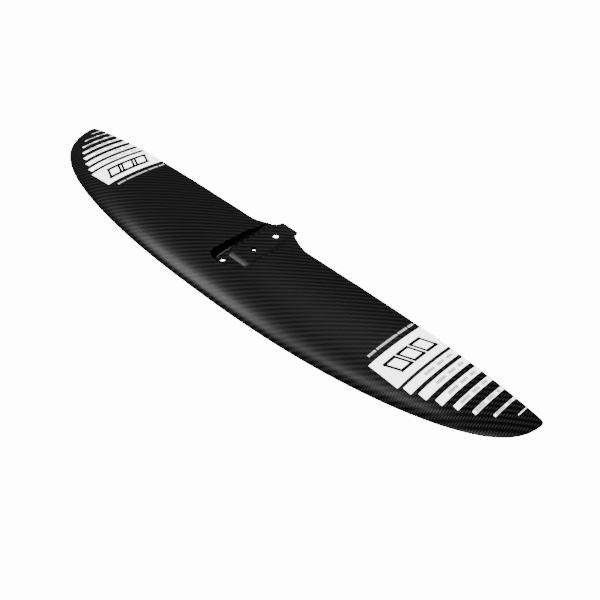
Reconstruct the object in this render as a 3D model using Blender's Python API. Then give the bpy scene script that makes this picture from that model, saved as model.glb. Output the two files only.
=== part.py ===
"""Front wing of a hydrofoil: carbon skins over foam cores, a box spar and a solid bolted seat.

X runs along the span, the leading edge faces -Y, and Z points up. The origin is below the
middle of the wing's box, on the ground that the two wing tips stand on. Lengths are in metres.
"""
import math

import bmesh
import bpy

# ---- planform and section of the wing -------------------------------------------------------
SPAN = 0.830
HALF_SPAN = SPAN / 2
ROOT_CHORD = 0.145
PLAN_POWER = 2.34            # the chord is ROOT_CHORD * (1 - t**PLAN_POWER)**PLAN_ROUND, t = |x| / HALF_SPAN
PLAN_ROUND = 0.466
MIN_CHORD = 0.005            # chord of the blunt end at each tip
TIP_ROUND = 0.0050           # radius that the trailing edge turns in with at each tip
LEADING_Y = -0.0831          # root leading edge, so that leading edge and tail tab balance about y = 0
SWEEP_2, SWEEP_4 = -0.0097, 0.0083      # trailing edge sweep, on t**2 and t**4
DROOP_2, DROOP_4 = 0.0143, -0.0375      # height of the chord line, on t**2 and t**4
ROOT_THICKNESS, TIP_THICKNESS = 0.100, 0.115
CAMBER, CAMBER_AT = 0.030, 0.40
TIP_TWIST = math.radians(1.25)
EDGE_THICKNESS = 0.0010      # trailing edge away from the tail

# ---- tail fairing and tab behind the seat ---------------------------------------------------
TAB_ROOT_HALF = 0.0160
TAB_END_HALF = 0.0138
TAIL_REACH = 0.0131          # how far the fairing carries the trailing edge back beside the tab
TAIL_HALF = 0.052            # where the fairing has run out
TAB_END_Y = 0.0831
TAIL_TOP, TAIL_BOTTOM = 0.0009, 0.0023
STRETCH_FROM = 0.75          # chord fraction behind which the section is drawn back

# ---- seat for the fuselage ------------------------------------------------------------------
SEAT_SLOPE = -0.065          # the seat drops towards the tail
SEAT_HEIGHT = 0.00649        # above the root chord line, at SEAT_REF_Y
SEAT_REF_Y = -0.0106
SEAT_HALF = 0.0200
SEAT_FRONT_Y = -0.0139
ROLL_LENGTH = 0.0113         # the seat's front edge rolls down over this length
ROLL_DROP = 0.0032
ROLL_POWER = 1.6
CORNER_HALF = 0.0130         # outside this the seat's front edge curves back
CORNER_DEPTH = 0.0040
SIDE_WALL_RUN = 0.0010       # run of the seat's own edge down to the channel
CHANNEL_HEIGHT = 0.0032
CHANNEL_DEPTH = 0.0016       # least depth of the channel below the seat
RIM_MIDDLE, RIM_HALF = -0.00475, 0.02825     # rim of the recess, wider on the starboard side
RIM_ROUND_Y, RIM_REACH = -0.0170, 0.0198     # in front of RIM_ROUND_Y the rim rounds off
RIM_SKEW = 0.12              # the rim's front slants back towards the port side
RIM_POWER = 2.5
RIM_TAPER = 0.0030           # both sides come in by this much towards the tail
RIM_TAPER_START, RIM_TAPER_END = 0.038, 0.052
WALL_RUN_FRONT, WALL_RUN_REAR = 0.0020, 0.0034
WALL_RUN_START, WALL_RUN_END = 0.010, 0.050
OPENING_HALF = 0.0340        # opening in the upper skin that takes the seat block
OPENING_FRONT_Y = -0.0391
OPENING_ROUND_Y = -0.0186    # in front of this the opening rounds off
OPENING_POWER = 3.2
BOLT_POSITIONS = ((-0.0153, -0.0245), (0.0, 0.0157), (0.0, 0.0560))
BOLT_RADII = (0.0034, 0.0034, 0.0041)
HEAD_RADIUS = 0.0065
THROATS = (0.0034, 0.0046, 0.0030)      # straight part of each hole, above its countersink
FLOOR_ROWS = (0.0040, 0.0080, 0.0130, 0.0180, 0.0230, 0.0280, 0.0330, 0.0380,
              0.0420, 0.0460, 0.0500, 0.0550)           # rows of points over the recess, on y
UNDER_ROWS = (0.0500, 0.0400, 0.0300, 0.0150, 0.0)      # rows over the block's face on the lower skin
CUTTER_REAR_Y, CUTTER_LOW, CUTTER_HIGH = 0.120, -0.02, 0.04

# ---- laminate and core ----------------------------------------------------------------------
GAP = 0.0003
SKIN = 0.0012
NOSE_SOLID = 0.0040          # solid laminate behind the leading edge
SKIN_END = 0.93              # chord fraction where the skins meet the trailing edge strip
SKIN_HALF_SPAN = 0.398
SPAR_FRONT, SPAR_REAR = 0.17, 0.3015
SPAR_STATION = -5            # the spar ends this far in from the end of SPREAD
CAP_THICKNESS = 0.0011
WEB_THICKNESS = 0.0012
CORE_STATION = -3
CORE_THINNEST = 0.0004       # half thickness where the foam runs out
BESIDE_SEAT = OPENING_HALF + 2 * GAP
TAIL_STATIONS = (BESIDE_SEAT, 0.0360, 0.0405, 0.0455, TAIL_HALF)
SPREAD = 12

# ---- printed films on the upper skin --------------------------------------------------------
FILM = 0.0002
PANEL_INNER, PANEL_OUTER = 0.2383, 0.2815
PANEL_FRONT_Y = -0.0352
BARS = 7
BAR_START, BAR_PITCH = 0.2844, 0.0176
BAR_WIDTHS = (0.0129, -0.0012, -0.00009)     # width of bar i is a + b*i + c*i**2
BAR_CURVE_START, BAR_CURVE_LENGTH, BAR_CURVE_DEPTH = 0.260, 0.1314, 0.077


# ---- shape functions ------------------------------------------------------------------------
def ratio(x):
    return min(abs(x) / HALF_SPAN, 1.0)


def tip_cut(x):
    """How far the trailing edge has turned in, close to a tip."""
    over = min(max(abs(x) - HALF_SPAN + TIP_ROUND, 0.0), TIP_ROUND)
    return TIP_ROUND - math.sqrt(TIP_ROUND ** 2 - over ** 2)


def chord(x):
    return max(ROOT_CHORD * (1 - ratio(x) ** PLAN_POWER) ** PLAN_ROUND - tip_cut(x), MIN_CHORD)


def nominal_trailing_y(x):
    t = ratio(x)
    return LEADING_Y + ROOT_CHORD + SWEEP_2 * t ** 2 + SWEEP_4 * t ** 4 - tip_cut(x)


def fairing(x):
    """1 beside the tab, falling to 0 where the tail fairing has run out."""
    s = (abs(x) - TAB_ROOT_HALF) / (TAIL_HALF - TAB_ROOT_HALF)
    return (1 - min(max(s, 0.0), 1.0)) ** 1.5


def half_thickness(f):
    return 5 * (0.2969 * math.sqrt(f) - 0.1260 * f - 0.3516 * f ** 2 + 0.2843 * f ** 3 - 0.1036 * f ** 4)


def camber_line(f):
    if f < CAMBER_AT:
        return CAMBER / CAMBER_AT ** 2 * (2 * CAMBER_AT * f - f * f)
    return CAMBER / (1 - CAMBER_AT) ** 2 * (1 - 2 * CAMBER_AT + 2 * CAMBER_AT * f - f * f)


def edge_half(x, side):
    """Half of the trailing edge's thickness on one side (side +1 is the top)."""
    plain = 0.5 * EDGE_THICKNESS * (0.4 + 0.6 * chord(x) / ROOT_CHORD)
    tail = TAIL_TOP if side > 0 else TAIL_BOTTOM
    return plain + (tail - plain) * fairing(x)


def section_point(x, f, side, inset=0.0):
    """Point on the wing at chord fraction f, moved inward from one side by inset."""
    t = ratio(x)
    c = chord(x)
    back = max((f - STRETCH_FROM) / (1 - STRETCH_FROM), 0.0) ** 2
    y = nominal_trailing_y(x) - c * (1 - f) + TAIL_REACH * fairing(x) * back
    thick = ROOT_THICKNESS + (TIP_THICKNESS - ROOT_THICKNESS) * t ** 2
    half = c * thick * half_thickness(f) + edge_half(x, side) * f
    middle = DROOP_2 * t ** 2 + DROOP_4 * t ** 4 + c * camber_line(f)
    middle -= (1 - f) * c * math.tan(TIP_TWIST * t ** 2)
    return (x, y, middle + side * max(half - inset, 0.5 * GAP))


def lowest_point():
    xs = [HALF_SPAN * i / 200 for i in range(201)]
    return min(section_point(x, f / 20, -1)[2] for x in xs for f in range(21))


LIFT = -lowest_point()       # height of the root chord line above the ground


def surface_z(x, y, side, inset=0.0):
    """Height of the wing surface above a point of the plan, by bisection on the chord fraction."""
    low, high = 0.0, 1.0
    for _ in range(40):
        f = 0.5 * (low + high)
        if section_point(x, f, side)[1] < y:
            low = f
        else:
            high = f
    return section_point(x, 0.5 * (low + high), side, inset)[2]


def chord_fractions(start, end, count):
    """Fractions from start to end, closer together near the leading edge."""
    fractions = []
    for i in range(count):
        u = i / (count - 1)
        fractions.append(start + (end - start) * (0.35 * u + 0.65 * u * u))
    return fractions


def wing_stations(last=0):
    """Span positions from beside the seat outwards, closer together towards the tip."""
    reach = SKIN_HALF_SPAN - TAIL_HALF
    spread = [TAIL_HALF + reach * math.sin(0.5 * math.pi * i / SPREAD) for i in range(1, SPREAD + 1)]
    return list(TAIL_STATIONS) + spread[:SPREAD + last]


def seat_stations():
    return [0.0, 0.0100, TAB_ROOT_HALF, 0.0200, 0.0235, 0.0275]


def mirrored(xs):
    """The same positions on both sides, with the middle one only once."""
    return [-x for x in reversed(xs) if x > 0] + xs


# ---- mesh helpers ---------------------------------------------------------------------------
def clear_scene():
    for old in list(bpy.data.objects):
        bpy.data.objects.remove(old, do_unlink=True)


def make_material(name, color, roughness, metallic=0.0):
    material = bpy.data.materials.new(name)
    material.use_nodes = True
    shader = material.node_tree.nodes["Principled BSDF"]
    shader.inputs["Base Color"].default_value = (*color, 1.0)
    shader.inputs["Roughness"].default_value = roughness
    shader.inputs["Metallic"].default_value = metallic
    return material


def loft(name, rings, material):
    """Closed solid through rings of equally many points, lifted to stand on the ground."""
    mesh = bmesh.new()
    loops = [[mesh.verts.new((x, y, z + LIFT)) for x, y, z in ring] for ring in rings]
    count = len(loops[0])
    for near, far in zip(loops, loops[1:]):
        for i in range(count):
            j = (i + 1) % count
            mesh.faces.new((near[i], near[j], far[j], far[i]))
    mesh.faces.new(loops[0][::-1])
    mesh.faces.new(loops[-1])
    bmesh.ops.recalc_face_normals(mesh, faces=mesh.faces)
    data = bpy.data.meshes.new(name)
    mesh.to_mesh(data)
    mesh.free()
    data.materials.append(material)
    data.shade_smooth()
    data.set_sharp_from_angle(angle=math.radians(30))
    part = bpy.data.objects.new(name, data)
    bpy.context.collection.objects.link(part)
    return part


def cut(part, cutter):
    boolean = part.modifiers.new("cut_" + cutter.name, "BOOLEAN")
    boolean.operation = "DIFFERENCE"
    boolean.solver = "EXACT"
    boolean.object = cutter
    cutter.hide_render = True
    cutter.display_type = "WIRE"


# ---- skins ----------------------------------------------------------------------------------
def skin_ring(x, side):
    """Section through one skin: outer face backwards, inner face forwards."""
    outer = [section_point(x, f, side) for f in [0.0] + chord_fractions(0.004, SKIN_END, 15)]
    nose = NOSE_SOLID / chord(x)
    inner = [section_point(x, f, side, SKIN) for f in chord_fractions(nose, SKIN_END, 12)]
    parting = section_point(x, nose, side, ROOT_CHORD)
    return outer + inner[::-1] + [parting]


def make_skin(name, side, material):
    xs = mirrored(seat_stations() + wing_stations())
    return loft(name, [skin_ring(x, side) for x in xs], material)


# ---- inside the skins -----------------------------------------------------------------------
def bar_ring(x, start, end, top_inset, bottom_inset, count):
    """Section of a piece that fills the wing between two chord fractions."""
    fractions = [start + (end - start) * i / (count - 1) for i in range(count)]
    top = [section_point(x, f, 1, top_inset) for f in fractions]
    bottom = [section_point(x, f, -1, bottom_inset) for f in fractions]
    return top + bottom[::-1]


def core_depth():
    return SKIN + GAP


def core_end(x):
    """Chord fraction where the foam between the skins has become too thin."""
    f = SKIN_END - 0.02
    while 0.5 * (section_point(x, f, 1)[2] - section_point(x, f, -1)[2]) < core_depth() + CORE_THINNEST:
        f -= 0.005
    return f


def make_front_core(material):
    xs = mirrored([0.0] + wing_stations(CORE_STATION))
    rings = []
    for x in xs:
        start = (NOSE_SOLID + 4 * GAP) / chord(x)
        end = SPAR_FRONT - GAP / chord(x)
        rings.append(bar_ring(x, start, end, core_depth() + GAP, core_depth() + GAP, 7))
    return loft("front_core", rings, material)


def make_rear_core(name, sign, material):
    xs = [sign * x for x in wing_stations(CORE_STATION)]
    rings = []
    for x in xs:
        start = SPAR_REAR + GAP / chord(x)
        rings.append(bar_ring(x, start, core_end(x), core_depth(), core_depth(), 7))
    return loft(name, rings, material)


def make_spar(web, foam):
    """Box spar: two caps against the skins, two webs, and foam between them."""
    xs = mirrored([0.0] + wing_stations(SPAR_STATION))
    cap_in = core_depth()
    cap_out = cap_in + CAP_THICKNESS
    web_in = cap_out + GAP
    upper, lower, front, rear, middle = [], [], [], [], []
    for x in xs:
        c = chord(x)
        fractions = [SPAR_FRONT + (SPAR_REAR - SPAR_FRONT) * i / 3 for i in range(4)]
        upper.append([section_point(x, f, 1, cap_in) for f in fractions]
                     + [section_point(x, f, 1, cap_out) for f in fractions[::-1]])
        lower.append([section_point(x, f, -1, cap_in) for f in fractions]
                     + [section_point(x, f, -1, cap_out) for f in fractions[::-1]])
        wide = WEB_THICKNESS / c
        front.append(bar_ring(x, SPAR_FRONT, SPAR_FRONT + wide, web_in, web_in, 2))
        rear.append(bar_ring(x, SPAR_REAR - wide, SPAR_REAR, web_in, web_in, 2))
        clear = wide + GAP / c
        middle.append(bar_ring(x, SPAR_FRONT + clear, SPAR_REAR - clear, web_in, web_in, 3))
    loft("spar_cap_upper", upper, web)
    loft("spar_cap_lower", lower, web)
    loft("spar_web_front", front, web)
    loft("spar_web_rear", rear, web)
    loft("spar_core", middle, foam)


def make_edge_strip(name, sign, material):
    """Solid trailing edge strip, from beside the seat block to the tip piece."""
    xs = [sign * x for x in wing_stations()]
    rings = []
    for x in xs:
        start = SKIN_END + GAP / chord(x)
        rings.append(bar_ring(x, start, 1.0, 0.0, 0.0, 3))
    return loft(name, rings, material)


def make_tip(name, sign, material):
    """Solid laminate tip that closes the skins."""
    inner = SKIN_HALF_SPAN + GAP
    xs = [sign * (inner + (HALF_SPAN - inner) * math.sin(0.5 * math.pi * i / 8)) for i in range(9)]
    rings = []
    for x in xs:
        fractions = [0.0, 0.02] + chord_fractions(0.08, 1.0, 8)
        top = [section_point(x, f, 1) for f in fractions]
        bottom = [section_point(x, f, -1) for f in fractions]
        rings.append(top + bottom[::-1])
    return loft(name, rings, material)


# ---- seat block -----------------------------------------------------------------------------
def outline_half(y, shrink=0.0):
    """Half width of the opening: straight sides and a rounded front."""
    half = OPENING_HALF - shrink
    if y >= OPENING_ROUND_Y:
        return half
    s = min((OPENING_ROUND_Y - y) / (OPENING_ROUND_Y - OPENING_FRONT_Y - shrink), 1.0)
    return half * (1 - s ** OPENING_POWER) ** (1 / OPENING_POWER)


def outline_front(x, shrink=0.0):
    """Front of the opening at one place across its width."""
    s = min(abs(x) / (OPENING_HALF - shrink), 1.0)
    reach = OPENING_ROUND_Y - OPENING_FRONT_Y - shrink
    return OPENING_ROUND_Y - reach * (1 - s ** OPENING_POWER) ** (1 / OPENING_POWER)


def tail_end(x):
    """Rear edge of the wing behind the seat, with the tab in the middle."""
    faired = nominal_trailing_y(x) + TAIL_REACH * fairing(x)
    if abs(x) >= TAB_ROOT_HALF:
        return faired
    s = (TAB_ROOT_HALF - abs(x)) / (TAB_ROOT_HALF - TAB_END_HALF)
    return faired + (TAB_END_Y - faired) * min(s, 1.0)


def seat_plane(y):
    return SEAT_HEIGHT + SEAT_SLOPE * (y - SEAT_REF_Y)


def smooth_step(v, low, high):
    s = min(max((v - low) / (high - low), 0.0), 1.0)
    return s * s * (3 - 2 * s)


def rim_front(x):
    """Front of the recess at one place across its width."""
    s = min(abs(x - RIM_MIDDLE) / RIM_HALF, 1.0)
    return RIM_ROUND_Y + RIM_SKEW * (x - RIM_MIDDLE) - RIM_REACH * (1 - s ** RIM_POWER) ** (1 / RIM_POWER)


def inside_rim(x, y):
    """Distance inside the rim of the recess, negative outside."""
    off = x - RIM_MIDDLE
    half = RIM_HALF - RIM_TAPER * smooth_step(y, RIM_TAPER_START, RIM_TAPER_END)
    a = abs(off) / half
    b = max(RIM_ROUND_Y + RIM_SKEW * off - y, 0.0) / RIM_REACH
    f = max((a ** RIM_POWER + b ** RIM_POWER) ** (1 / RIM_POWER), 1e-6)
    front = (b / f) ** (RIM_POWER - 1) / RIM_REACH
    side = math.copysign((a / f) ** (RIM_POWER - 1) / half, off) + front * RIM_SKEW
    return (1 - f) / max(math.hypot(side, front), 1e-6)


def wall_run(y):
    """Run of the recess wall. It is steep in front and gentler towards the tail."""
    grow = smooth_step(y, WALL_RUN_START, WALL_RUN_END)
    return WALL_RUN_FRONT + (WALL_RUN_REAR - WALL_RUN_FRONT) * grow


def seat_front(x):
    """Front edge of the seat, curving back at its corners."""
    corner = min(max(abs(x) - CORNER_HALF, 0.0) / (SEAT_HALF - CORNER_HALF), 1.0)
    return SEAT_FRONT_Y + CORNER_DEPTH * corner ** 2.5


def recess_floor(x, y):
    """Seat with a rolled front edge, and the channel round it."""
    plane = seat_plane(y)
    channel = min(plane - CHANNEL_DEPTH, CHANNEL_HEIGHT)
    front = seat_front(x)
    if abs(x) > SEAT_HALF + SIDE_WALL_RUN or y < front - 1e-6:
        return channel
    into_roll = max(front + ROLL_LENGTH - y, 0.0) / ROLL_LENGTH
    seat = max(plane - ROLL_DROP * into_roll ** ROLL_POWER, channel)
    over = min(max(abs(x) - SEAT_HALF, 0.0) / SIDE_WALL_RUN, 1.0)
    return seat + (channel - seat) * over


def top_height(x, y):
    """Upper face of the block: seat, channel, walls, and the wing surface round the recess."""
    surface = surface_z(x, y, 1)
    floor = recess_floor(x, y)
    wall = 1 - min(max(inside_rim(x, y), 0.0) / wall_run(y), 1.0)
    return min(floor + max(surface - floor, 0.0) * wall, surface)


def bottom_height(x, y, inset):
    """Under face of the block: on the lower skin, and sloping down a little under the tab."""
    beyond = max(y - nominal_trailing_y(0.0) - TAIL_REACH, 0.0)
    return surface_z(x, y, -1, inset) + SEAT_SLOPE * beyond


def block_ring(x):
    """Section of the seat block at one place across its width."""
    front = outline_front(x, GAP)
    rim = max(rim_front(x), front + 0.0003)
    floor_start = rim + WALL_RUN_FRONT
    end = tail_end(x)
    ys = [front, rim, rim + 0.33 * WALL_RUN_FRONT, rim + 0.66 * WALL_RUN_FRONT, floor_start]
    seat = seat_front(x)
    ys += [floor_start + (seat - 0.0006 - floor_start) * k for k in (0.25, 0.5, 0.75, 1.0)]
    ys += [seat + ROLL_LENGTH * k for k in (0.0, 0.12, 0.25, 0.4, 0.6, 0.8, 1.0)]
    ys += FLOOR_ROWS
    ys += [end - (end - FLOOR_ROWS[-1]) * k for k in (0.66, 0.33, 0.0)]
    top = [(x, y, top_height(x, y)) for y in ys]
    step = section_point(x, SKIN_END, -1)[1] + GAP
    under = [end, 0.5 * (end + step), step]
    bottom = [(x, y, bottom_height(x, y, 0.0)) for y in under]
    inner = [step, *UNDER_ROWS, SEAT_FRONT_Y, front]
    bottom += [(x, y, bottom_height(x, y, SKIN + GAP)) for y in inner]
    return top + bottom


def make_block(material):
    edge = OPENING_HALF - GAP
    middle = mirrored([0.0, 0.0070, TAB_END_HALF, TAB_ROOT_HALF, 0.0180, SEAT_HALF])
    port_rim, starboard_rim = RIM_MIDDLE + RIM_HALF, RIM_MIDDLE - RIM_HALF
    port = [SEAT_HALF + 0.5 * SIDE_WALL_RUN, SEAT_HALF + SIDE_WALL_RUN, port_rim - WALL_RUN_FRONT]
    port += [port_rim - 0.66 * WALL_RUN_FRONT, port_rim - 0.33 * WALL_RUN_FRONT, port_rim]
    port += [0.0260, 0.0300, edge]
    starboard = [-edge, starboard_rim, starboard_rim + 0.0007, starboard_rim + 0.0014]
    starboard += [starboard_rim + WALL_RUN_FRONT + 0.0010 * i for i in range(10)]
    starboard = [x for x in starboard if x < -SEAT_HALF - SIDE_WALL_RUN - 0.0002]
    starboard += [-SEAT_HALF - SIDE_WALL_RUN, -SEAT_HALF - 0.5 * SIDE_WALL_RUN]
    return loft("seat_block", [block_ring(x) for x in starboard + middle + port], material)


def opening_cutter():
    """Prism through the upper skin, with the outline of the seat opening."""
    outline = []
    for i in range(17):
        y = OPENING_FRONT_Y + (OPENING_ROUND_Y - OPENING_FRONT_Y) * (1 - math.cos(math.pi * i / 32))
        outline.append((outline_half(y), y))
    outline.append((OPENING_HALF, CUTTER_REAR_Y))
    right = outline[1:]
    left = [(-x, y) for x, y in right[::-1]]
    plan = [outline[0]] + right + left
    rings = [[(x, y, z) for x, y in plan] for z in (CUTTER_LOW, CUTTER_HIGH)]
    return loft("opening_cutter", rings, bpy.data.materials["carbon"])


def bolt_cutter(index, x, y, bolt_radius, throat_length):
    """Clearance hole with a deep countersink that opens on the underside."""
    under = surface_z(x, y, -1)
    throat = recess_floor(x, y) - throat_length
    profile = [(HEAD_RADIUS + 0.0010, under - 0.0010), (HEAD_RADIUS, under),
               (bolt_radius, throat), (bolt_radius, CUTTER_HIGH)]
    rings = []
    for radius, z in profile:
        ring = []
        for i in range(24):
            a = 2 * math.pi * i / 24
            ring.append((x + radius * math.cos(a), y + radius * math.sin(a), z))
        rings.append(ring)
    return loft("bolt_cutter_%d" % index, rings, bpy.data.materials["carbon"])


# ---- printed films --------------------------------------------------------------------------
def film_front_y(x):
    """Front edge of the stepped bars, which follows the tip's curve."""
    u = max(abs(x) - BAR_CURVE_START, 0.0) / BAR_CURVE_LENGTH
    return PANEL_FRONT_Y + BAR_CURVE_DEPTH * (0.9 * u ** 2 + 0.1 * u ** 12)


def make_film(name, sign, inner, outer, front_y, material, columns, rows):
    """Thin printed patch just above the upper skin, ending at the trailing edge strip's end."""
    rings = []
    for i in range(columns + 1):
        x = sign * (inner + (outer - inner) * i / columns)
        rear_y = nominal_trailing_y(x) - 0.0008
        ys = [front_y + (rear_y - front_y) * (1 - (1 - j / rows) ** 1.3) for j in range(rows + 1)]
        surface = [(x, y, surface_z(x, y, 1)) for y in ys]
        low = [(a, b, z + GAP) for a, b, z in surface]
        high = [(a, b, z + GAP + FILM) for a, b, z in surface]
        rings.append(low + high[::-1])
    return loft(name, rings, material)


def make_films(sign, side_name, material):
    make_film("data_panel_" + side_name, sign, PANEL_INNER, PANEL_OUTER, PANEL_FRONT_Y, material, 4, 9)
    for i in range(BARS):
        a, b, c = BAR_WIDTHS
        inner = BAR_START + BAR_PITCH * i
        outer = inner + a + b * i + c * i * i
        front = film_front_y(0.5 * (inner + outer))
        name = "graphic_bar_%s_%d" % (side_name, i + 1)
        make_film(name, sign, inner, outer, front, material, 2, 8 if i < 5 else 4)


# ---- assembly -------------------------------------------------------------------------------
def main():
    clear_scene()
    carbon = make_material("carbon", (0.018, 0.018, 0.019), 0.30)
    laminate = make_material("solid_carbon", (0.014, 0.014, 0.015), 0.42)
    spar = make_material("spar_carbon", (0.030, 0.030, 0.032), 0.50)
    foam = make_material("core_foam", (0.62, 0.55, 0.38), 0.90)
    film = make_material("white_film", (0.86, 0.86, 0.86), 0.35)

    upper = make_skin("upper_skin", 1, carbon)
    lower = make_skin("lower_skin", -1, carbon)
    block = make_block(laminate)
    make_front_core(foam)
    make_spar(spar, foam)
    for sign, side in ((1, "port"), (-1, "starboard")):
        make_rear_core("rear_core_" + side, sign, foam)
        make_edge_strip("trailing_edge_strip_" + side, sign, laminate)
        make_tip("tip_" + side, sign, laminate)
        make_films(sign, side, film)

    cut(upper, opening_cutter())
    for i, (x, y) in enumerate(BOLT_POSITIONS):
        cutter = bolt_cutter(i + 1, x, y, BOLT_RADII[i], THROATS[i])
        cut(block, cutter)
        cut(lower, cutter)


main()
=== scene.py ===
import math

import bmesh
import bpy
import numpy as np
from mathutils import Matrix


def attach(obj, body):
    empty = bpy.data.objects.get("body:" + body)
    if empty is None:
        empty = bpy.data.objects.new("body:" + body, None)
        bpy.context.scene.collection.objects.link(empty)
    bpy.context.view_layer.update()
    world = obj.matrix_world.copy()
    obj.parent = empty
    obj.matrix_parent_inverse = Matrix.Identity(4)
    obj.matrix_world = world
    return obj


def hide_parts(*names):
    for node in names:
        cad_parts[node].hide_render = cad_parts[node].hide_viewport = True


# ---- shape of the wing, as in the CAD --------------------------------------------------------
HALF_SPAN = 0.415
ROOT_CHORD = 0.145
PLAN_POWER, PLAN_ROUND = 2.34, 0.466
TIP_CHORD, TIP_ROUND = 0.0050, 0.0050
LEADING_Y = -0.0831
SWEEP_2, SWEEP_4 = -0.0097, 0.0083
DROOP_2, DROOP_4 = 0.0143, -0.0375
ROOT_THICKNESS, TIP_THICKNESS = 0.100, 0.115
CAMBER, CAMBER_AT = 0.030, 0.40
TIP_TWIST = math.radians(1.25)
EDGE_THICKNESS, EDGE_AT_TIP = 0.0010, 0.4    # thickness at the root, and the share of it left at a tip
LIFT = 0.0235186             # height of the root chord line above the ground

TAB_ROOT_HALF, TAB_END_HALF = 0.0160, 0.0138
TAIL_REACH, TAIL_HALF, TAB_END_Y = 0.0131, 0.052, 0.0831
TAIL_TOP, TAIL_BOTTOM = 0.0009, 0.0023
STRETCH_FROM = 0.75          # chord fraction that the fairing's extra reach starts at

SEAT_SLOPE, SEAT_HEIGHT, SEAT_REF_Y = -0.065, 0.00649, -0.0106
SEAT_HALF, SEAT_FRONT_Y = 0.0200, -0.0139
CORNER_HALF, CORNER_DEPTH, CORNER_POWER = 0.0130, 0.0040, 2.5
SEAT_SIDE_IN, SEAT_SIDE_OUT = 0.0004, 0.0012     # the seat's side edge slopes down over this width
SEAT_NOSE_OUT, SEAT_NOSE_IN = 0.0009, 0.0001     # and its front edge over this length
ROLL_LENGTH, ROLL_DROP, ROLL_POWER = 0.0113, 0.0032, 1.6
CHANNEL_HEIGHT, CHANNEL_DEPTH, CHANNEL_ROUND = 0.0032, 0.0016, 0.0004
RIM_MIDDLE, RIM_HALF = -0.00475, 0.02825     # rim of the recess, wider on the starboard side
RIM_ROUND_Y, RIM_REACH, RIM_SKEW, RIM_POWER = -0.0170, 0.0198, 0.12, 2.5
RIM_TAPER, RIM_TAPER_START, RIM_TAPER_END = 0.0030, 0.038, 0.052
WALL_RUN_FRONT, WALL_RUN_REAR, WALL_RUN_START, WALL_RUN_END = 0.0020, 0.0034, 0.010, 0.050
RIM_ROUND, NEAR_RIM_ROUND, FOOT_ROUND = 0.0005, 0.0014, 0.0018
NEAR_RIM_START, NEAR_RIM_END = -0.010, 0.015     # the rim gets rounder between these span positions
CUT_REACH = 0.004            # the roundings are left out this far from the rim and the foot
OPENING_HALF, OPENING_FRONT_Y, OPENING_ROUND_Y, OPENING_POWER = 0.0340, -0.0391, -0.0186, 3.2
BOLTS = ((-0.0153, -0.0245), (0.0, 0.0157), (0.0, 0.0560))
THROATS = (0.0034, 0.0046, 0.0030)           # straight part of each hole, above its countersink
BOLT_RADII, HEAD_RADIUS = (0.0034, 0.0034, 0.0041), 0.0065
BOLT_SIDES, EDGE_BREAK = 48, 0.0002
CUTTER_BELOW, CUTTER_ABOVE = 0.004, 0.02

SKIN_END = 0.93              # chord fraction where the skins meet the trailing edge strips
SKIN_HALF_SPAN = 0.398       # span position where the skins meet the solid tips
SHARP_ANGLE = math.radians(38)
NOSE_END = 0.28              # chord fraction that the fine rows of the nose reach
WEAVE_ANCHOR = 0.55          # chord fraction where the weave's rows are in step from ring to ring
SIDES = ((1, "port"), (-1, "starboard"))

# ---- printed graphics ------------------------------------------------------------------------
PANEL_INNER, PANEL_OUTER, PANEL_FRONT_Y = 0.2383, 0.2820, -0.0352
BAR_INNER = (0.2846, 0.3009, 0.3188, 0.3366, 0.3547, 0.3727, 0.3899)
BAR_WIDTH = (0.0126, 0.0125, 0.0109, 0.0085, 0.0066, 0.0045, 0.0024)
BAR_FRONT_Y = (-0.0306, -0.0242, -0.0169, -0.0081, 0.0025, 0.0177, 0.0414)
BAR_COUNT = 7
TITLE_X, TITLE_HALF, TITLE_FRONT_Y = 0.2303, 0.0015, -0.0256
TITLE_WORDS, TITLE_DASHES = (4, 11, 5, 3), (0.0023, 0.0018, 0.0018)
TITLE_GAP, TITLE_WORD_GAP = 0.0014, 0.0016
MARK_INNER, MARK_OUTER, MARK_FRONT_Y = 0.2510, 0.2700, -0.022
MARK_BLOCKS, MARK_PITCH, MARK_SLANT, MARK_LENGTH = 3, 0.0230, 0.0085, 0.0175
MARK_LINES = {1: (0.0034, 0.0040), -1: (0.0036, 0.0056)}     # width of the mark's span and chord lines
MARK_STEP = 0.003            # length of one face along a line of the mark
CAPTION_BARS, CAPTION_GROUPS, CAPTION_DASHES = 6, (8, 6, 5), (0.0013, 0.0017)
CAPTION_HALF, CAPTION_SHARE = 0.0020, 0.28   # half a row's width, at most this share of the bar's
CAPTION_GAP, CAPTION_GROUP_GAP = 0.0006, 0.0055
CAPTION_FRONT, CAPTION_LENGTH, CAPTION_REAR = 0.004, 0.0515, 0.006
FILM_LIFT = 0.00006
INK_LIFT = 3 * FILM_LIFT
FILM_REAR = 0.0004           # the films end this far in front of the trailing edge
FILM_INSET = {1: 0.0008, -1: 0.0016}         # the printed white stops this far inside the film's edge
INSET_SHARE = 0.3            # at most this share of a bar's width

# ---- painted shade and glint in the recess ---------------------------------------------------
PAINTED_SHADE_REACH = 0.0072          # how far the painted shade reaches in from the rim, at the front
REACH_STEPS = ((0.0010, -0.020, -0.002), (0.0008, 0.010, 0.030), (-0.0042, 0.034, 0.058))
SHADE_FADE_IN, SHADE_FADE_OUT = 0.0020, 0.0026
SHADE_SIDE = (0.004, 0.020)   # it grows between these distances to starboard of the middle line
# painted shade: strongest on the far wall and its foot, weaker over the whole recess
WALL_SHADE, SEAT_SHADE = 0.95, 0.15
GLINT_AT, GLINT_WIDTH = 0.0078, 0.0010         # painted highlight: the bright line along the foot of the front wall
GLINT_START, GLINT_END = (-0.031, -0.024), (-0.006, 0.006)
RIM_FADE, TAB_FADE = (-0.0002, 0.0012), (0.069, 0.074)
SHADE_BELOW = 0.0006         # nothing is shaded further than this below the recess floor

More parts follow.
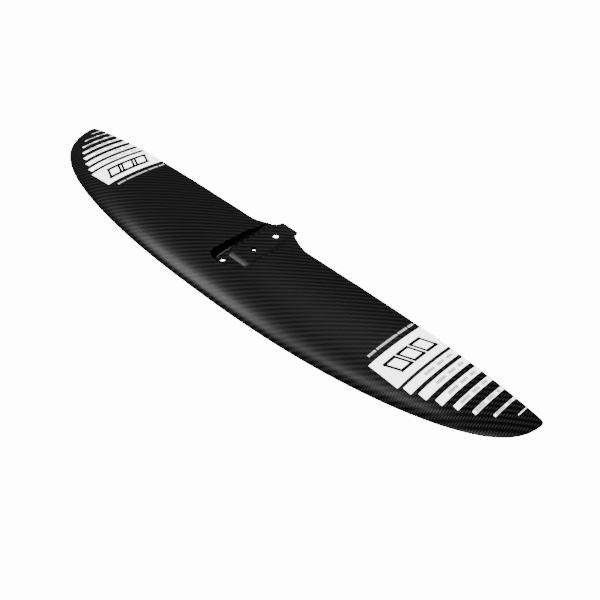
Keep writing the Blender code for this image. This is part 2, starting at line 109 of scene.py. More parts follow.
# ---- twill -----------------------------------------------------------------------------------
TOW = 0.0025                 # width of one tow
FIBRE_ACROSS, FIBRE_ALONG = 22.0, 0.6        # noise cycles per tow width, across and along the fibres
PATCH_SCALE = 14.0
CROWN_POWER, FLOAT_POWER, RELIEF_POWER = 4.0, 0.6, 0.7
WARP_BASE, CROWN_GAIN, WEFT_SHARE = 0.05, 1.45, 0.13
TWILL_DARK, TWILL_LIGHT = (0.0012, 0.0012, 0.0013, 1), (0.145, 0.145, 0.147, 1)
# colour of the painted glint along the foot of the recess wall
GLINT_COLOR = (0.36, 0.36, 0.365, 1)
COAT, COAT_ROUGHNESS, SPECULAR, GLOSS_LEFT = 0.5, 0.23, 0.35, 0.12
CROWN_ROUGHNESS, HOLLOW_ROUGHNESS = 0.31, 0.06


# ---- shape functions -------------------------------------------------------------------------
def ratio(x):
    return np.minimum(np.abs(x) / HALF_SPAN, 1.0)


def tip_cut(x):
    """How far the trailing edge has turned in, close to a tip."""
    over = np.clip(np.abs(x) - HALF_SPAN + TIP_ROUND, 0, TIP_ROUND)
    return TIP_ROUND - np.sqrt(TIP_ROUND ** 2 - over ** 2)


def chord(x):
    return np.maximum(ROOT_CHORD * (1 - ratio(x) ** PLAN_POWER) ** PLAN_ROUND - tip_cut(x), TIP_CHORD)


def nominal_trailing_y(x):
    t = ratio(x)
    return LEADING_Y + ROOT_CHORD + SWEEP_2 * t ** 2 + SWEEP_4 * t ** 4 - tip_cut(x)


def fairing(x):
    s = (np.abs(x) - TAB_ROOT_HALF) / (TAIL_HALF - TAB_ROOT_HALF)
    return (1 - np.clip(s, 0, 1)) ** 1.5


def tail_end(x):
    faired = nominal_trailing_y(x) + TAIL_REACH * fairing(x)
    s = (TAB_ROOT_HALF - np.abs(x)) / (TAB_ROOT_HALF - TAB_END_HALF)
    return faired + (TAB_END_Y - faired) * np.clip(s, 0, 1)


def half_thickness(f):
    return 5 * (0.2969 * np.sqrt(f) - 0.1260 * f - 0.3516 * f ** 2 + 0.2843 * f ** 3 - 0.1036 * f ** 4)


def camber_line(f):
    front = CAMBER / CAMBER_AT ** 2 * (2 * CAMBER_AT * f - f * f)
    rear = CAMBER / (1 - CAMBER_AT) ** 2 * (1 - 2 * CAMBER_AT + 2 * CAMBER_AT * f - f * f)
    return np.where(f < CAMBER_AT, front, rear)


def section(x, f, side):
    """Plain wing surface: y and z at span position x and chord fraction f."""
    t, c = ratio(x), chord(x)
    back = np.maximum((f - STRETCH_FROM) / (1 - STRETCH_FROM), 0) ** 2
    y = nominal_trailing_y(x) - c * (1 - f) + TAIL_REACH * fairing(x) * back
    plain = 0.5 * EDGE_THICKNESS * (EDGE_AT_TIP + (1 - EDGE_AT_TIP) * c / ROOT_CHORD)
    tail = TAIL_TOP if side > 0 else TAIL_BOTTOM
    edge = plain + (tail - plain) * fairing(x)
    thick = ROOT_THICKNESS + (TIP_THICKNESS - ROOT_THICKNESS) * t ** 2
    half = c * thick * half_thickness(f) + edge * f
    middle = DROOP_2 * t ** 2 + DROOP_4 * t ** 4 + c * camber_line(f)
    middle = middle - (1 - f) * c * np.tan(TIP_TWIST * t ** 2)
    return y, middle + side * half


FRACTIONS = np.linspace(0, 1, 400) ** 2


def surface_z(x, y, side=1):
    """Height of the plain surface over points of one span position."""
    ys, zs = section(x, FRACTIONS, side)
    return np.interp(y, ys, zs)


def smooth_min(a, b, k):
    return 0.5 * (a + b - np.sqrt((a - b) ** 2 + k * k))


def smooth_max(a, b, k):
    return 0.5 * (a + b + np.sqrt((a - b) ** 2 + k * k))


def smooth_step(v, low, high):
    s = np.clip((v - low) / (high - low), 0, 1)
    return s * s * (3 - 2 * s)


def in_opening(x, y):
    """Whether a plan point lies over the seat block, which is let into the upper skin."""
    if abs(x) > OPENING_HALF:
        return False
    reach = OPENING_ROUND_Y - OPENING_FRONT_Y
    ahead = max(OPENING_ROUND_Y - y, 0) / reach
    return (abs(x) / OPENING_HALF) ** OPENING_POWER + ahead ** OPENING_POWER < 1


def rim_distance(x, y):
    """Distance inside the rim of the recess, negative outside."""
    off = x - RIM_MIDDLE
    half = RIM_HALF - RIM_TAPER * smooth_step(y, RIM_TAPER_START, RIM_TAPER_END)
    a = np.abs(off) / half
    b = np.maximum(RIM_ROUND_Y + RIM_SKEW * off - y, 0) / RIM_REACH
    p = RIM_POWER
    f = np.maximum((a ** p + b ** p) ** (1 / p), 1e-6)
    front = (b / f) ** (p - 1) / RIM_REACH
    side = np.sign(off) * (a / f) ** (p - 1) / half + front * RIM_SKEW
    return (1 - f) / np.maximum(np.hypot(side, front), 1e-6)


def recess_floor(x, y):
    """Seat with a rolled front edge, and the channel round it."""
    plane = SEAT_HEIGHT + SEAT_SLOPE * (y - SEAT_REF_Y)
    channel = smooth_min(plane - CHANNEL_DEPTH, CHANNEL_HEIGHT, CHANNEL_ROUND)
    corner = np.clip((np.abs(x) - CORNER_HALF) / (SEAT_HALF - CORNER_HALF), 0, 1)
    front = SEAT_FRONT_Y + CORNER_DEPTH * corner ** CORNER_POWER
    into_roll = np.clip((front + ROLL_LENGTH - y) / ROLL_LENGTH, 0, 1)
    seat = plane - ROLL_DROP * into_roll ** ROLL_POWER
    on_seat = 1 - smooth_step(np.abs(x), SEAT_HALF - SEAT_SIDE_IN, SEAT_HALF + SEAT_SIDE_OUT)
    on_seat = on_seat * smooth_step(y, front - SEAT_NOSE_OUT, front + SEAT_NOSE_IN)
    return channel + (np.maximum(seat, channel) - channel) * on_seat


def shade(x, y, z):
    """How much painted shade darkens the recess below open twill: most on its far wall and foot.

    Negative values are a painted highlight, the bright line along the foot.
    """
    inside = rim_distance(x, y)
    reach = PAINTED_SHADE_REACH
    for change, start, end in REACH_STEPS:
        reach = reach + change * smooth_step(y, start, end)
    starboard = smooth_step(-x, *SHADE_SIDE)
    far_wall_shade = (1 - smooth_step(inside, reach - SHADE_FADE_IN, reach + SHADE_FADE_OUT)) * starboard
    # painted highlight: a bright line along the foot of the wall
    line = np.exp(-((inside - GLINT_AT) / GLINT_WIDTH) ** 2) * starboard
    line = line * smooth_step(y, *GLINT_START) * (1 - smooth_step(y, *GLINT_END))
    # painted shade over the recess, deepest on the starboard wall and its foot, with the painted glint as
    # negative values
    value = np.maximum(SEAT_SHADE, WALL_SHADE * far_wall_shade) * (1 - line) - line
    value = value * smooth_step(inside, *RIM_FADE) * (1 - smooth_step(y, *TAB_FADE))
    return np.where(z - LIFT > recess_floor(x, y) - SHADE_BELOW, value, 0)


def top_z(x, y, plain):
    """Upper surface with the recess and its seat cut into it."""
    inside = rim_distance(x, y)
    grow = smooth_step(y, WALL_RUN_START, WALL_RUN_END)
    run = WALL_RUN_FRONT + (WALL_RUN_REAR - WALL_RUN_FRONT) * grow
    rim = RIM_ROUND + (NEAR_RIM_ROUND - RIM_ROUND) * smooth_step(x, NEAR_RIM_START, NEAR_RIM_END)
    floor = recess_floor(x, y)
    wall = plain - (plain - floor) * (inside - rim) / run
    cut = smooth_max(floor, wall, FOOT_ROUND)
    cut = np.where(inside > run + CUT_REACH, floor, cut)
    return np.where(inside > -CUT_REACH, smooth_min(plain, cut, rim), plain)


# ---- mesh helpers ----------------------------------------------------------------------------
def spread(*parts):
    """Positions joined from (start, end, count) runs."""
    runs = [np.linspace(a, b, n, endpoint=False) for a, b, n in parts]
    return np.concatenate(runs + [[parts[-1][1]]])


def make_object(name, verts, faces, uvs=None):
    mesh = bpy.data.meshes.new(name)
    mesh.from_pydata(verts, [], faces)
    if uvs is not None:
        layer = mesh.uv_layers.new(name="weave")
        loops = np.empty(len(mesh.loops), dtype=np.int32)
        mesh.loops.foreach_get("vertex_index", loops)
        layer.data.foreach_set("uv", np.asarray(uvs, dtype=np.float32)[loops].ravel())
    mesh.shade_smooth()
    piece = bpy.data.objects.new(name, mesh)
    bpy.context.collection.objects.link(piece)
    return piece


def finish_piece(piece, material, slot, *nodes):
    piece.data.materials.clear()
    piece.data.materials.append(material)
    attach(piece, "root")
    if nodes:
        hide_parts(*nodes)


# ---- the moulded wing ------------------------------------------------------------------------
def span_columns():
    """Span positions of the section rings, finer at the tab and at the walls of the recess."""
    outer = np.sin(0.5 * np.pi * np.linspace(0, 1, 97)[1:])
    tip = TAIL_HALF + (HALF_SPAN - TAIL_HALF) * outer
    inner = ((0, TAB_END_HALF, 26), (TAB_END_HALF, TAB_ROOT_HALF, 7), (TAB_ROOT_HALF, 0.0192, 8))
    port = spread(*inner, (0.0192, 0.0255, 28), (0.0255, 0.0345, 12), (0.0345, TAIL_HALF, 14))
    starboard = spread(*inner, (0.0192, 0.0215, 9), (0.0215, 0.0285, 16), (0.0285, 0.0352, 30),
                       (0.0352, TAIL_HALF, 14))
    port, starboard = np.concatenate([port, tip]), np.concatenate([starboard, tip])
    return np.concatenate([-starboard[:0:-1], port])


def upper_fractions():
    """Chord fractions of the upper side from the rear, finer at the nose and round the seat's front."""
    nose = NOSE_END * (1 - np.cos(0.5 * np.pi * np.linspace(0, 1, 42, endpoint=False)))
    body = spread((NOSE_END, 0.355, 32), (0.355, 0.58, 60), (0.58, 0.90, 44), (0.90, 1.0, 26))
    return np.concatenate([nose, body])[::-1]


def ring_table():
    """Positions and weave coordinates of the section rings.

    A ring runs from the upper trailing edge round the nose to the lower one.
    """
    upper = upper_fractions()
    lower = 1 - np.cos(0.5 * np.pi * np.linspace(0, 1, 70)[1:])
    count = len(upper)
    anchor = int(np.argmin(np.abs(upper - WEAVE_ANCHOR)))
    points, weave = [], []
    along = 0.0
    previous = None
    for x in span_columns():
        stretch = tail_end(x) - nominal_trailing_y(x) - TAIL_REACH * fairing(x)
        rows = []
        for f, side in ((upper, 1), (lower, -1)):
            y, z = section(x, f, side)
            y = y + stretch * np.maximum((f - STRETCH_FROM) / (1 - STRETCH_FROM), 0) ** 2
            if stretch > 0:
                z = surface_z(x, y, side)
            rows.append((y, z))
        y, plain = np.concatenate(rows, axis=1)
        z = plain.copy()
        z[:count] = top_z(x, y[:count], plain[:count])
        beyond = np.maximum(y[count:] - nominal_trailing_y(0.0) - TAIL_REACH, 0)
        z[count:] = plain[count:] + SEAT_SLOPE * beyond
        middle = DROOP_2 * ratio(x) ** 2 + DROOP_4 * ratio(x) ** 4
        if previous is not None:
            along += math.hypot(x - previous[0], middle - previous[1])
        previous = (x, middle)
        run = np.concatenate([[0], np.cumsum(np.hypot(np.diff(y), np.diff(plain)))])
        v = y[anchor] - (run - run[anchor])
        points.append(np.stack([np.full_like(y, x), y, z + LIFT], axis=1))
        weave.append(np.stack([np.full_like(y, along), v], axis=1))
    return np.array(points), np.array(weave)


def wing_mesh():
    """One closed mesh of the whole outer surface, before the holes."""
    points, weave = ring_table()
    columns, rows = points.shape[:2]
    index = np.arange(columns * rows).reshape(columns, rows)
    a, b = index[:-1, :-1].ravel(), index[:-1, 1:].ravel()
    c, d = index[1:, 1:].ravel(), index[1:, :-1].ravel()
    faces = np.stack([a, b, c, d], axis=1).tolist()
    edge = np.stack([index[:-1, -1], index[:-1, 0], index[1:, 0], index[1:, -1]], axis=1).tolist()
    caps = [index[0, ::-1].tolist(), index[-1].tolist()]
    piece = make_object("wing", points.reshape(-1, 3), faces + edge + caps, weave.reshape(-1, 2))
    bm = bmesh.new()
    bm.from_mesh(piece.data)
    bmesh.ops.recalc_face_normals(bm, faces=bm.faces)
    bm.to_mesh(piece.data)
    bm.free()
    return piece


PARTS = ("upper_skin", "lower_skin", "seat_block", "trailing_edge_strip_port",
         "trailing_edge_strip_starboard", "tip_port", "tip_starboard")


def piece_of(centre, normal_z):
    """Which part of the wing a face belongs to, from where its middle is."""
    x, y = centre[0], centre[1]
    side = "port" if x > 0 else "starboard"
    if abs(x) > SKIN_HALF_SPAN:
        return "tip_" + side
    joint = float(section(x, np.array([SKIN_END]), 1)[0][0])
    if in_opening(x, y) and (normal_z > 0 or y > joint):
        return "seat_block"
    if y > joint:
        return "trailing_edge_strip_" + side
    return "upper_skin" if normal_z > 0 else "lower_skin"


def bolt_cutter(x, y, radius, throat):
    """Turned cutter for one hole and its countersink, from below the wing to above it."""
    under = float(surface_z(x, y, -1)) + LIFT
    depth = float(recess_floor(x, y)) + LIFT - under - throat
    profile = [(0.0, -CUTTER_BELOW), (HEAD_RADIUS + CUTTER_BELOW, -CUTTER_BELOW), (HEAD_RADIUS, 0.0),
               (HEAD_RADIUS - EDGE_BREAK, 2 * EDGE_BREAK), (radius + EDGE_BREAK, depth - EDGE_BREAK),
               (radius, depth + EDGE_BREAK), (radius, CUTTER_ABOVE), (0.0, CUTTER_ABOVE)]
    bm = bmesh.new()
    rings = []
    for r, z in profile:
        angles = [2 * math.pi * i / BOLT_SIDES for i in range(BOLT_SIDES)] if r else [0.0]
        rings.append([bm.verts.new((x + r * math.cos(t), y + r * math.sin(t), under + z)) for t in angles])
    for low, high in zip(rings, rings[1:]):
        for i in range(BOLT_SIDES):
            j = (i + 1) % BOLT_SIDES
            corners = [low[i % len(low)], low[j % len(low)], high[j % len(high)], high[i % len(high)]]
            bm.faces.new(list(dict.fromkeys(corners)))
    bmesh.ops.recalc_face_normals(bm, faces=bm.faces)
    mesh = bpy.data.meshes.new("bolt_cutter")
    bm.to_mesh(mesh)
    bm.free()
    cutter = bpy.data.objects.new("bolt_cutter", mesh)
    bpy.context.collection.objects.link(cutter)
    return cutter


def cut_bolts(piece):
    """Cuts the bolt holes and applies each cut."""
    for (x, y), radius, throat in zip(BOLTS, BOLT_RADII, THROATS):
        cutter = bolt_cutter(x, y, radius, throat)
        boolean = piece.modifiers.new("bolt", "BOOLEAN")
        boolean.operation = "DIFFERENCE"
        boolean.solver = "EXACT"
        boolean.object = cutter
        bpy.context.view_layer.update()
        graph = bpy.context.evaluated_depsgraph_get()
        cut = bpy.data.meshes.new_from_object(piece.evaluated_get(graph))
        piece.modifiers.clear()
        piece.data = cut
        bpy.data.objects.remove(cutter)


def read_rows(items, attribute, width):
    """One attribute of a list of mesh elements, as a table with one row each."""
    values = np.empty(len(items) * width, dtype=np.float32)
    items.foreach_get(attribute, values)
    return values.reshape(-1, width)


def split_wing(piece):
    """Separates the wing into its parts. Every part keeps the whole wing's shading at its edges."""
    mesh = piece.data
    mesh.shade_smooth()
    mesh.set_sharp_from_angle(angle=SHARP_ANGLE)
    normals = read_rows(mesh.corner_normals, "vector", 3)
    coords = read_rows(mesh.vertices, "co", 3)
    uvs = read_rows(mesh.uv_layers[0].data, "uv", 2)
    groups = {name: [] for name in PARTS}
    for face in mesh.polygons:
        groups[piece_of(face.center, face.normal[2])].append(face)
    pieces = {}
    for name, faces in groups.items():
        loops = np.concatenate([np.arange(f.loop_start, f.loop_start + f.loop_total) for f in faces])
        used = sorted({v for f in faces for v in f.vertices})
        slot_of = {v: i for i, v in enumerate(used)}
        part = bpy.data.meshes.new(name + "_shell")
        part.from_pydata(coords[used].tolist(), [], [[slot_of[v] for v in f.vertices] for f in faces])
        layer = part.uv_layers.new(name="weave")
        layer.data.foreach_set("uv", uvs[loops].ravel())
        # painted shade and glint of the recess, stored per point for the twill material
        darker = part.attributes.new("shade", "FLOAT", "POINT")
        x, y, z = coords[used].astype(float).T
        darker.data.foreach_set("value", shade(x, y, z).astype(np.float32))
        part.shade_smooth()
        part.normals_split_custom_set(normals[loops].tolist())
        made = bpy.data.objects.new(name + "_shell", part)
        bpy.context.collection.objects.link(made)
        pieces[name] = made
    bpy.data.objects.remove(piece)
    return pieces


# ---- node helpers ----------------------------------------------------------------------------
class Nodes:
    """Short calls for building one material's node tree."""

    def __init__(self, name, roughness=0.5, coat=0.0, coat_roughness=0.05):
        self.material = bpy.data.materials.new(name)
        self.material.use_nodes = True
        self.tree = self.material.node_tree
        self.shader = self.tree.nodes["Principled BSDF"]
        self.shader.inputs["Roughness"].default_value = roughness
        self.shader.inputs["Coat Weight"].default_value = coat
        self.shader.inputs["Coat Roughness"].default_value = coat_roughness

    def put(self, socket, value):
        if isinstance(value, bpy.types.NodeSocket):
            self.tree.links.new(value, socket)
        else:
            socket.default_value = value

    def math(self, operation, a, b=0.0):
        node = self.tree.nodes.new("ShaderNodeMath")
        node.operation = operation
        self.put(node.inputs[0], a)
        self.put(node.inputs[1], b)
        return node.outputs[0]

    def mix(self, factor, a, b):
        node = self.tree.nodes.new("ShaderNodeMix")
        node.data_type = "RGBA"
        self.put(node.inputs[0], factor)
        self.put(node.inputs[6], a)
        self.put(node.inputs[7], b)
        return node.outputs[2]

    def blend(self, factor, a, b):
        node = self.tree.nodes.new("ShaderNodeMix")
        self.put(node.inputs[0], factor)
        self.put(node.inputs[2], a)
        self.put(node.inputs[3], b)
        return node.outputs[0]

    def combine(self, x, y):
        node = self.tree.nodes.new("ShaderNodeCombineXYZ")
        self.put(node.inputs[0], x)
        self.put(node.inputs[1], y)
        return node.outputs[0]

    def noise(self, vector, scale, detail=2.0):
        node = self.tree.nodes.new("ShaderNodeTexNoise")
        self.put(node.inputs["Vector"], vector)
        node.inputs["Scale"].default_value = scale
        node.inputs["Detail"].default_value = detail
        return node.outputs[0]

    def uv(self):
        node = self.tree.nodes.new("ShaderNodeUVMap")
        node.uv_map = "weave"
        split = self.tree.nodes.new("ShaderNodeSeparateXYZ")
        self.tree.links.new(node.outputs[0], split.inputs[0])
        return split.outputs[0], split.outputs[1]

    def attribute(self, name):
        node = self.tree.nodes.new("ShaderNodeAttribute")
        node.attribute_name = name
        return node.outputs["Fac"]

    def place(self):
        return self.tree.nodes.new("ShaderNodeTexCoord").outputs["Object"]

    def color(self, value):
        self.put(self.shader.inputs["Base Color"], value)

    def bump(self, height, strength, distance):
        node = self.tree.nodes.new("ShaderNodeBump")
        node.inputs["Strength"].default_value = strength
        node.inputs["Distance"].default_value = distance
        self.put(node.inputs["Height"], height)
        self.put(self.shader.inputs["Normal"], node.outputs[0])


def twill_material():
    """Clear-coated 2x2 twill carbon. Its coordinates are metres along the span and along the surface."""
    n = Nodes("carbon_twill", coat_roughness=COAT_ROUGHNESS)
    u, v = n.uv()
    across, along = n.math("DIVIDE", u, TOW), n.math("DIVIDE", v, TOW)
    column, row = n.math("FLOOR", across), n.math("FLOOR", along)
    in_column, in_row = n.math("SUBTRACT", across, column), n.math("SUBTRACT", along, row)

    # each cell shows a warp or a weft tow, and a float runs over two cells
    step = n.math("FLOORED_MODULO", n.math("SUBTRACT", column, row), 4.0)
    warp = n.math("LESS_THAN", step, 1.5)
    wide = n.blend(warp, in_row, in_column)
    warp_run = n.math("MULTIPLY", n.math("ADD", n.math("SUBTRACT", 1.0, step), in_row), 0.5)
    weft_run = n.math("MULTIPLY", n.math("ADD", n.math("SUBTRACT", step, 2.0), in_column), 0.5)
    run = n.blend(warp, weft_run, warp_run)
    crown = n.math("SINE", n.math("MULTIPLY", wide, math.pi))
    float_crown = n.math("POWER", n.math("SINE", n.math("MULTIPLY", run, math.pi)), FLOAT_POWER)
    height = n.math("MULTIPLY", n.math("POWER", crown, RELIEF_POWER), float_crown)

    fine_u, long_u = n.math("MULTIPLY", across, FIBRE_ACROSS), n.math("MULTIPLY", across, FIBRE_ALONG)
    fine_v, long_v = n.math("MULTIPLY", along, FIBRE_ACROSS), n.math("MULTIPLY", along, FIBRE_ALONG)
    warp_fibre, weft_fibre = n.noise(n.combine(fine_u, long_v), 1.0), n.noise(n.combine(long_u, fine_v), 1.0)
    fibre = n.blend(warp, weft_fibre, warp_fibre)
    patch = n.noise(n.combine(u, v), PATCH_SCALE)

    # the warp floats catch the light, the weft shows faintly between them
    tone = n.math("MULTIPLY", warp, n.math("ADD", 0.5, n.math("MULTIPLY", float_crown, 0.5)))
    middle = n.math("MULTIPLY", n.math("POWER", crown, CROWN_POWER), CROWN_GAIN)
    tone = n.math("MULTIPLY", tone, n.math("ADD", WARP_BASE, middle))
    tone = n.math("MAXIMUM", tone, n.math("MULTIPLY", middle, WEFT_SHARE))
    tone = n.math("MULTIPLY", tone, n.math("ADD", 0.7, n.math("MULTIPLY", fibre, 0.6)))
    tone = n.math("MULTIPLY", tone, n.math("ADD", 0.8, n.math("MULTIPLY", patch, 0.4)))

    # painted shade darkens the recess and turns its coat and specular down, and the painted glint along its
    # foot is bright
    shaded = n.attribute("shade")
    lit = n.math("SUBTRACT", 1.0, n.math("MAXIMUM", shaded, 0.0))
    gloss = n.math("ADD", GLOSS_LEFT, n.math("MULTIPLY", lit, 1 - GLOSS_LEFT))
    n.put(n.shader.inputs["Coat Weight"], n.math("MULTIPLY", gloss, COAT))
    n.put(n.shader.inputs["Specular IOR Level"], n.math("MULTIPLY", gloss, SPECULAR))
    tone = n.math("MULTIPLY", tone, lit)
    glint = n.math("MULTIPLY", n.math("MINIMUM", shaded, 0.0), -1.0)
    n.color(n.mix(glint, n.mix(tone, TWILL_DARK, TWILL_LIGHT), GLINT_COLOR))

    hollow = n.math("MULTIPLY", n.math("SUBTRACT", 1.0, height), HOLLOW_ROUGHNESS)
    n.put(n.shader.inputs["Roughness"], n.math("ADD", CROWN_ROUGHNESS, hollow))
    n.bump(n.math("ADD", height, n.math("MULTIPLY", fibre, 0.15)), 0.06, 0.00012)
    return n.material


def film_material(name, glow):
    """White printed film under the clear coat. Its glow stands for the over-exposed studio white."""
    n = Nodes(name, 0.32, coat=0.5, coat_roughness=0.10)
    place = n.place()
    grain = n.noise(place, 900.0)
    cloud = n.noise(place, 30.0)
    tone = n.math("ADD", n.math("MULTIPLY", grain, 0.03), n.math("MULTIPLY", cloud, 0.03))
    n.color(n.mix(tone, (0.90, 0.90, 0.90, 1), (0.55, 0.55, 0.56, 1)))
    n.shader.inputs["Emission Color"].default_value = (1, 1, 1, 1)
    n.shader.inputs["Emission Strength"].default_value = glow
    n.bump(grain, 0.05, 0.00004)
    return n.material


def ink_material(name, color):
    """Dark print on the film."""
    n = Nodes(name, 0.42)
    grain = n.noise(n.place(), 1200.0)
    n.color(n.mix(grain, (*color, 1), (*(1.6 * c for c in color), 1)))
    n.bump(grain, 0.05, 0.00003)
    return n.material


def foam_material():
    """Closed-cell core foam."""
    n = Nodes("core_foam", 0.9)
    cells = n.tree.nodes.new("ShaderNodeTexVoronoi")
    n.put(cells.inputs["Vector"], n.place())
    cells.inputs["Scale"].default_value = 900.0
    n.color(n.mix(cells.outputs["Distance"], (0.72, 0.64, 0.45, 1), (0.42, 0.36, 0.24, 1)))
    n.bump(cells.outputs["Distance"], 0.4, 0.0003)
    return n.material


def plies_material():
    """Unidirectional carbon with its fibres along the span."""
    n = Nodes("spar_carbon", 0.48)
    stretch = n.tree.nodes.new("ShaderNodeMapping")
    stretch.inputs["Scale"].default_value = (4.0, 900.0, 900.0)
    n.put(stretch.inputs["Vector"], n.place())
    fibre = n.noise(stretch.outputs[0], 1.0, 3.0)
    n.color(n.mix(fibre, (0.010, 0.010, 0.011, 1), (0.055, 0.055, 0.058, 1)))
    n.bump(fibre, 0.2, 0.0001)
    return n.material


# ---- printed graphics ------------------------------------------------------------------------
def print_patch(name, outline_y, x0, x1, columns, rows, lift=FILM_LIFT):
    """Thin patch on the upper surface between x0 and x1. outline_y gives its two ends at each x."""
    verts, faces, uvs = [], [], []
    for x in np.linspace(x0, x1, columns + 1):
        front, rear = outline_y(x)
        y = np.linspace(front, rear, rows + 1)
        z = surface_z(x, y) + LIFT + lift
        verts += [(x, a, b) for a, b in zip(y, z)]
        uvs += [(x, a) for a in y]
    stride = rows + 1
    for i in range(columns):
        for j in range(rows):
            a = i * stride + j
            quad = [a, a + stride, a + stride + 1, a + 1]
            faces.append(quad if x1 > x0 else quad[::-1])
    return make_object(name, verts, faces, uvs)


def rear_edge(x):
    return float(nominal_trailing_y(x)) - FILM_REAR


def join(name, parts):
    """Joins small patches into one piece."""
    verts, faces, uvs = [], [], []
    for part in parts:
        base = len(verts)
        verts += [tuple(v.co) for v in part.data.vertices]
        faces += [[base + i for i in f.vertices] for f in part.data.polygons]
        uvs += [(v.co[0], v.co[1]) for v in part.data.vertices]
        bpy.data.objects.remove(part)
    return make_object(name, verts, faces, uvs)


def print_dash(x0, x1, front, rear, lift):
    return print_patch("dash", lambda x: (front, rear), x0, x1, 1, 1, lift)


def make_title(sign, side, film):
    """A line of plain dashes beside the panel."""
    dashes = []
    x0, x1 = sign * (TITLE_X - TITLE_HALF), sign * (TITLE_X + TITLE_HALF)
    y = TITLE_FRONT_Y
    for word, length in enumerate(TITLE_WORDS):
        for letter in range(length):
            wide = TITLE_DASHES[(letter + word) % 3]
            dashes.append(print_dash(x0, x1, y, y + wide, FILM_LIFT))
            y += wide + TITLE_GAP
        y += TITLE_WORD_GAP
    finish_piece(join("title_line_" + side, dashes), film, "white_film")


def line_strip(a, b, width, sign):
    """Thin line on the surface from plan point a to plan point b."""
    steps = max(int(math.dist(a, b) / MARK_STEP), 1)
    nx, ny = b[1] - a[1], -(b[0] - a[0])
    size = math.hypot(nx, ny)
    nx, ny = 0.5 * width * nx / size, 0.5 * width * ny / size
    verts = []
    for i in range(steps + 1):
        k = (i * (1 + width / size) / steps) - 0.5 * width / size
        x, y = a[0] + (b[0] - a[0]) * k, a[1] + (b[1] - a[1]) * k
        for s in (-1, 1):
            px, py = x + s * nx, y + s * ny
            verts.append((sign * px, py, float(surface_z(px, py)) + LIFT + INK_LIFT))
    faces = [[2 * i, 2 * i + 1, 2 * i + 3, 2 * i + 2] for i in range(steps)]
    faces = [f[::-1] if sign > 0 else f for f in faces]
    return make_object("line", verts, faces, [(v[0], v[1]) for v in verts])


def make_mark(sign, side, ink):
    """A plain row of slanted outlined blocks on the panel."""
    lines = []
    for i in range(MARK_BLOCKS):
        inner_y = MARK_FRONT_Y + MARK_PITCH * i
        outer_y = inner_y + MARK_SLANT
        corners = [(MARK_INNER, inner_y), (MARK_OUTER, outer_y),
                   (MARK_OUTER, outer_y + MARK_LENGTH), (MARK_INNER, inner_y + MARK_LENGTH)]
        for k, (a, b) in enumerate(zip(corners, corners[1:] + corners[:1])):
            lines.append(line_strip(a, b, MARK_LINES[sign][k % 2], sign))
    finish_piece(join("panel_mark_" + side, lines), ink, "carbon")


def make_captions(sign, side, ink):
    """Rows of plain dark dashes on the wider bars, in three groups that end near the trailing edge."""
    dashes = []
    for i in range(CAPTION_BARS):
        middle = BAR_INNER[i] + 0.5 * BAR_WIDTH[i]
        half = min(CAPTION_HALF, CAPTION_SHARE * BAR_WIDTH[i])
        x0, x1 = sign * (middle - half), sign * (middle + half)
        end = rear_edge(middle) - CAPTION_REAR
        y = max(end - CAPTION_LENGTH, BAR_FRONT_Y[i] + CAPTION_FRONT)
        for count in CAPTION_GROUPS:
            for letter in range(count):
                wide = CAPTION_DASHES[letter % 2]
                if y + wide < end:
                    dashes.append(print_dash(x0, x1, y, y + wide, INK_LIFT))
                y += wide + CAPTION_GAP
            y += CAPTION_GROUP_GAP
    finish_piece(join("bar_captions_" + side, dashes), ink, "carbon")


def make_graphics(film, letters, black, grey):
    for sign, side in SIDES:
        inset = FILM_INSET[sign]
        panel = print_patch("data_panel_film_" + side, lambda x: (PANEL_FRONT_Y, rear_edge(x)),
                            sign * (PANEL_INNER + inset), sign * (PANEL_OUTER - inset), 16, 60)
        finish_piece(panel, film, "white_film", "data_panel_" + side)
        for i in range(BAR_COUNT):
            place = "%s_%d" % (side, i + 1)
            front = BAR_FRONT_Y[i]
            inset = min(FILM_INSET[sign], INSET_SHARE * BAR_WIDTH[i])
            inner, outer = BAR_INNER[i] + inset, BAR_INNER[i] + BAR_WIDTH[i] - inset
            bar = print_patch("graphic_bar_film_" + place, lambda x, a=front: (a, rear_edge(x)),
                              sign * inner, sign * outer, 6, 50)
            finish_piece(bar, film, "white_film", "graphic_bar_" + place)
        make_title(sign, side, letters)
        make_mark(sign, side, black)
        make_captions(sign, side, grey)


# ---- stage -----------------------------------------------------------------------------------
STUDIO_GLOW, STUDIO_FILL = 14.0, 0.03        # what the camera sees behind the wing, and what lights it
FLOOR_RINGS, FLOOR_SIDES, FLOOR_Z = (0.6, 2.0, 6.0, 14.0), 96, -0.0005


def area_light(name, direction, distance, size, power):
    """Softbox that faces the middle of the wing from a direction."""
    light = bpy.data.lights.new(name, "AREA")
    light.shape = "RECTANGLE"
    light.size, light.size_y = size
    light.energy = power
    lamp = bpy.data.objects.new(name, light)
    bpy.context.collection.objects.link(lamp)
    d = np.array(direction, dtype=float)
    d = d / np.linalg.norm(d)
    lamp.location = d * distance
    flat = math.hypot(d[0], d[1])
    lamp.rotation_euler = (math.atan2(flat, d[2]), 0, math.atan2(d[1], d[0]) + math.pi / 2)
    return lamp


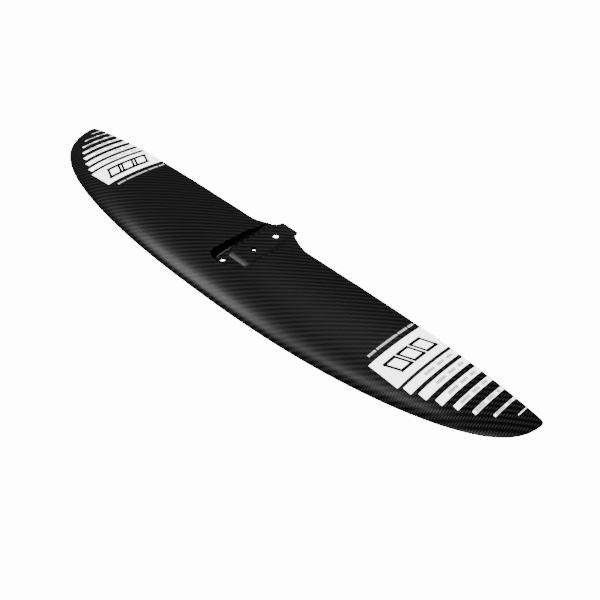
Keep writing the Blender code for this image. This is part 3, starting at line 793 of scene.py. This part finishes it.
def make_floor():
    """Pale round floor just below the wing."""
    bm = bmesh.new()
    turns = [2 * math.pi * i / FLOOR_SIDES for i in range(FLOOR_SIDES)]
    rings = [[bm.verts.new((r * math.cos(t), r * math.sin(t), FLOOR_Z)) for t in turns] for r in FLOOR_RINGS]
    bm.faces.new(rings[0])
    for near, far in zip(rings, rings[1:]):
        for i in range(FLOOR_SIDES):
            j = (i + 1) % FLOOR_SIDES
            bm.faces.new((near[i], near[j], far[j], far[i]))
    bmesh.ops.recalc_face_normals(bm, faces=bm.faces)
    mesh = bpy.data.meshes.new("floor")
    bm.to_mesh(mesh)
    bm.free()
    floor = bpy.data.objects.new("floor", mesh)
    bpy.context.collection.objects.link(floor)
    n = Nodes("floor_white", 0.9)
    n.color((0.9, 0.9, 0.9, 1))
    n.shader.inputs["Specular IOR Level"].default_value = 0.0
    n.shader.inputs["Emission Color"].default_value = (1, 1, 1, 1)
    n.shader.inputs["Emission Strength"].default_value = STUDIO_GLOW
    floor.data.materials.append(n.material)
    floor.visible_glossy = False
    floor.visible_diffuse = False


def make_world():
    """Bright background for the camera, and a dim one for everything that the wing reflects."""
    world = bpy.data.worlds.new("studio")
    bpy.context.scene.world = world
    world.use_nodes = True
    tree = world.node_tree
    back = tree.nodes["Background"]
    back.inputs["Color"].default_value = (1, 1, 1, 1)
    back.inputs["Strength"].default_value = STUDIO_FILL
    seen = tree.nodes.new("ShaderNodeBackground")
    seen.inputs["Strength"].default_value = STUDIO_GLOW
    seen.inputs["Color"].default_value = (1, 1, 1, 1)
    path = tree.nodes.new("ShaderNodeLightPath")
    mix = tree.nodes.new("ShaderNodeMixShader")
    tree.links.new(path.outputs["Is Camera Ray"], mix.inputs[0])
    tree.links.new(back.outputs[0], mix.inputs[1])
    tree.links.new(seen.outputs[0], mix.inputs[2])
    tree.links.new(mix.outputs[0], tree.nodes["World Output"].inputs["Surface"])


def make_camera():
    data = bpy.data.cameras.new("camera")
    data.lens = 50.0
    data.sensor_width = 36.0
    data.clip_start = 0.02
    data.clip_end = 100.0
    camera = bpy.data.objects.new("camera", data)
    bpy.context.collection.objects.link(camera)
    camera.location = (0.605306, -0.524709, 0.743934)
    camera.rotation_euler = (math.radians(45), 0, math.radians(44))
    bpy.context.scene.camera = camera


# ---- assembly --------------------------------------------------------------------------------
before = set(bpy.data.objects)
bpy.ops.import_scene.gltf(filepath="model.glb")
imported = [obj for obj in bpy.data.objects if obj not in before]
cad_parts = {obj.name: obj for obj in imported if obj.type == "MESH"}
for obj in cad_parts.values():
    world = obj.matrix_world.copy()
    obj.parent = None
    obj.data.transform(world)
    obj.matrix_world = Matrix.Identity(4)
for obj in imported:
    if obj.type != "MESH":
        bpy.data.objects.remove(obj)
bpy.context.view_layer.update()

twill = twill_material()
film = film_material("white_print", 4.2)
letters = film_material("white_letters", 1.5)
black = ink_material("black_ink", (0.004, 0.004, 0.004))
grey = ink_material("grey_ink", (0.02, 0.02, 0.02))
foam = foam_material()
plies = plies_material()

wing = wing_mesh()
cut_bolts(wing)
for node, shell in split_wing(wing).items():
    record_slot = "carbon" if node in ("upper_skin", "lower_skin") else "solid_carbon"
    finish_piece(shell, twill, record_slot, node)
make_graphics(film, letters, black, grey)

INNER_NODES = ((plies, ("spar_cap_upper", "spar_cap_lower", "spar_web_front", "spar_web_rear")),
               (foam, ("spar_core", "front_core", "rear_core_port", "rear_core_starboard")))
for material, nodes in INNER_NODES:
    for node in nodes:
        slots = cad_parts[node].data.materials
        slots.clear()
        slots.append(material)

make_floor()
make_world()
make_camera()
area_light("key", (-0.57, -0.12, 0.81), 2.2, (0.70, 0.62), 6.7)
top = area_light("top", (-0.04, -0.02, 0.98), 2.2, (1.55, 0.45), 5.4)
top.rotation_euler = (0, 0, 0.27)
area_light("front_fill", (0.85, -0.35, 0.45), 2.6, (1.2, 1.2), 7.0)
area_light("back", (-0.30, 0.60, 0.76), 2.4, (1.1, 1.0), 1.1)
